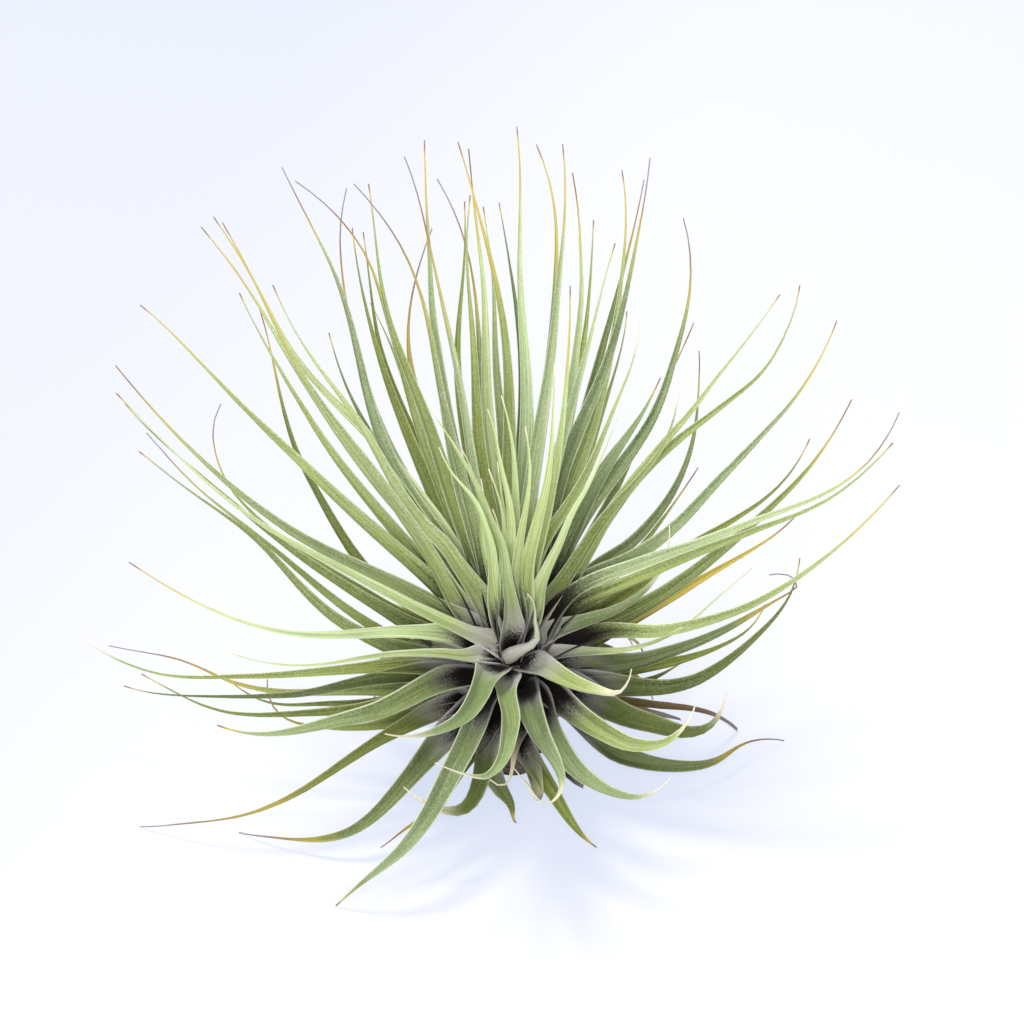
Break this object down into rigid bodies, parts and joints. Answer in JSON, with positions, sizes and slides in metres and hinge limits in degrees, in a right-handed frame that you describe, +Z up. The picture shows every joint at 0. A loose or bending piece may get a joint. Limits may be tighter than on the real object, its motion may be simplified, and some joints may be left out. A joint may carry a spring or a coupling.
{
  "type": "air plant",
  "caption": "Rosette of narrow silvery-green leaves on a short woody stem, as an air plant that lies free on a surface.",
  "frame": {"origin": "centre of the stem's flat cut base, on the surface that the plant rests on", "axes": "+Z up; the rosette's axis leans 20 degrees toward -Y, which is the plant's front; +X to the right as seen from the front"},
  "size_m": [0.1827, 0.1784, 0.1442],
  "materials": {
    "young_leaf": "fleshy, bright yellow-green with a fine silvery bloom",
    "leaf": "leathery, light green with a silvery bloom and dry golden tips",
    "old_leaf": "leathery, dark olive green with pale margins and dry tips",
    "dry_leaf": "dry and papery, brown",
    "stem": "rough bark, dark brown"
  },
  "bodies": {
    "root": {"heart_leaves": "young_leaf", "middle_leaves": "leaf", "outer_leaves": "old_leaf", "dead_leaves": "dry_leaf", "stem": "stem"}
  },
  "joints": []
}
